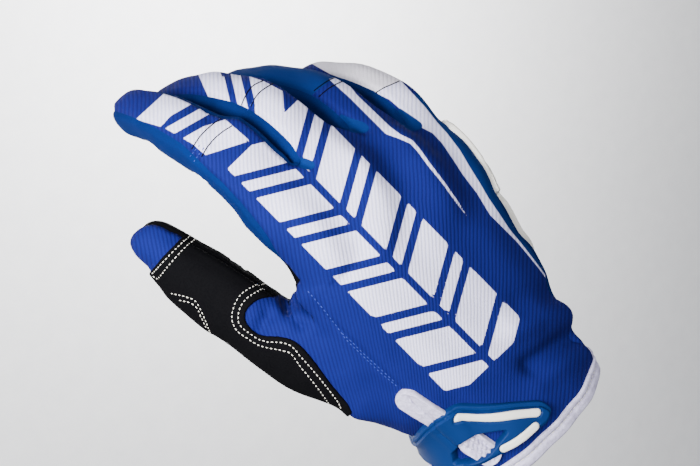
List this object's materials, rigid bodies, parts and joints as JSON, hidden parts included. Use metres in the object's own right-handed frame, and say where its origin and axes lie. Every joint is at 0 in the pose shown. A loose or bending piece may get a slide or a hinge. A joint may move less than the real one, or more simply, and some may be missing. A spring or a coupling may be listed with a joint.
{
  "type": "motocross glove",
  "caption": "Motocross glove for the right hand, sewn from ribbed and smooth cloth, with a black palm and thumb wrap, a moulded side guard and a wrist closure, bent as worn.",
  "frame": {"origin": "centre of the cuff opening, where the wrist goes in", "axes": "+Y from the cuff to the fingers, +X towards the little finger, +Z away from the back of the hand"},
  "size_m": [0.1222, 0.1811, 0.1053],
  "materials": {
    "ribbed_cloth": "matte, fine ribs",
    "smooth_cloth": "matte, smooth stretch knit",
    "black_synthetic_leather": "matte, fine grain",
    "binding_tape": "matte, sewn tape",
    "white_moulding": "satin",
    "blue_moulding": "satin"
  },
  "bodies": {
    "root": {"back_panel": "ribbed_cloth", "palm_panel": "black_synthetic_leather", "index_side_wall": "smooth_cloth", "fourchette_index_middle": "smooth_cloth", "fourchette_middle_ring": "smooth_cloth", "fourchette_ring_little": "smooth_cloth", "outer_side_panel": "smooth_cloth", "thumb_back": "ribbed_cloth", "thumb_palm": "black_synthetic_leather", "cuff_binding": "binding_tape", "thumb_wrap": "black_synthetic_leather", "side_guard": "white_moulding", "closure_tab": "binding_tape", "closure_inlay_long": "white_moulding", "closure_inlay_short": "white_moulding", "closure_frame": "blue_moulding", "closure_strap": "smooth_cloth"}
  },
  "joints": []
}
